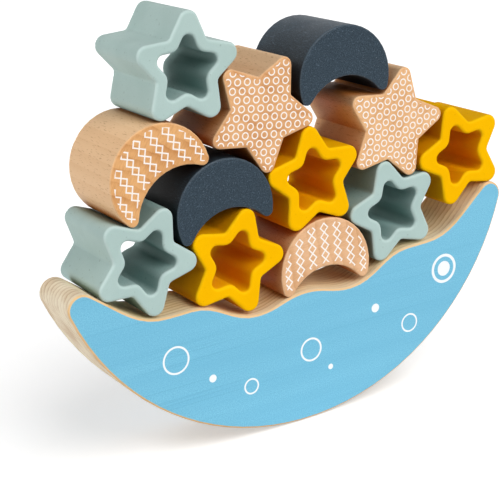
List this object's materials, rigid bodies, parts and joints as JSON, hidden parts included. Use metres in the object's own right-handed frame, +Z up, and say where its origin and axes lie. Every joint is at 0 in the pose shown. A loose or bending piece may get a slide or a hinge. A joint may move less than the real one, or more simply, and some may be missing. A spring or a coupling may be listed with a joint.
{
  "type": "stacking balance toy",
  "caption": "Crescent-shaped wooden rocker with a wavy top, carrying loose hollow silicone stars, solid wooden stars and wooden crescents stacked to balance.",
  "frame": {"origin": "on the table, under the middle of the whole toy's box", "axes": "+X along the rocker to its right end, +Y from the front faces to the back, +Z up"},
  "size_m": [0.2254, 0.04, 0.1928],
  "materials": {
    "rocker": "solid pine with sky blue paint on the two flat faces and a bare rim",
    "sage_silicone": "matt moulded silicone",
    "yellow_silicone": "matt moulded silicone",
    "beech": "smooth sanded beech with a white print on the face",
    "navy_wood": "matt dark blue-grey paint on wood"
  },
  "bodies": {
    "rocker_base": {"rocker_base": "rocker"},
    "sage_star_left": {"sage_star_left": "sage_silicone"},
    "yellow_star_left": {"yellow_star_left": "yellow_silicone"},
    "wood_crescent_mid": {"wood_crescent_mid": "beech"},
    "sage_star_right": {"sage_star_right": "sage_silicone"},
    "yellow_star_right": {"yellow_star_right": "yellow_silicone"},
    "navy_crescent_mid": {"navy_crescent_mid": "navy_wood"},
    "yellow_star_mid": {"yellow_star_mid": "yellow_silicone"},
    "wood_crescent_left": {"wood_crescent_left": "beech"},
    "wood_star_left": {"wood_star_left": "beech"},
    "wood_star_right": {"wood_star_right": "beech"},
    "sage_star_top": {"sage_star_top": "sage_silicone"},
    "navy_crescent_top": {"navy_crescent_top": "navy_wood"}
  },
  "joints": [
    {"name": "sage_star_left_pull", "type": "slide", "parent": "rocker_base", "child": "sage_star_left", "axis": [0, -1, 0], "range_m": [0, 0.06]},
    {"name": "yellow_star_left_pull", "type": "slide", "parent": "rocker_base", "child": "yellow_star_left", "axis": [0, -1, 0], "range_m": [0, 0.06]},
    {"name": "wood_crescent_mid_pull", "type": "slide", "parent": "rocker_base", "child": "wood_crescent_mid", "axis": [0, -1, 0], "range_m": [0, 0.06]},
    {"name": "sage_star_right_pull", "type": "slide", "parent": "rocker_base", "child": "sage_star_right", "axis": [0, -1, 0], "range_m": [0, 0.06]},
    {"name": "yellow_star_right_pull", "type": "slide", "parent": "rocker_base", "child": "yellow_star_right", "axis": [0, -1, 0], "range_m": [0, 0.06]},
    {"name": "navy_crescent_mid_pull", "type": "slide", "parent": "rocker_base", "child": "navy_crescent_mid", "axis": [0, -1, 0], "range_m": [0, 0.06]},
    {"name": "yellow_star_mid_pull", "type": "slide", "parent": "rocker_base", "child": "yellow_star_mid", "axis": [0, -1, 0], "range_m": [0, 0.06]},
    {"name": "wood_crescent_left_pull", "type": "slide", "parent": "rocker_base", "child": "wood_crescent_left", "axis": [0, -1, 0], "range_m": [0, 0.06]},
    {"name": "wood_star_left_pull", "type": "slide", "parent": "rocker_base", "child": "wood_star_left", "axis": [0, -1, 0], "range_m": [0, 0.06]},
    {"name": "wood_star_right_pull", "type": "slide", "parent": "rocker_base", "child": "wood_star_right", "axis": [0, -1, 0], "range_m": [0, 0.06]},
    {"name": "sage_star_top_lift", "type": "slide", "parent": "rocker_base", "child": "sage_star_top", "axis": [0, 0, 1], "range_m": [0, 0.08]},
    {"name": "navy_crescent_top_lift", "type": "slide", "parent": "rocker_base", "child": "navy_crescent_top", "axis": [0, 0, 1], "range_m": [0, 0.08]}
  ]
}
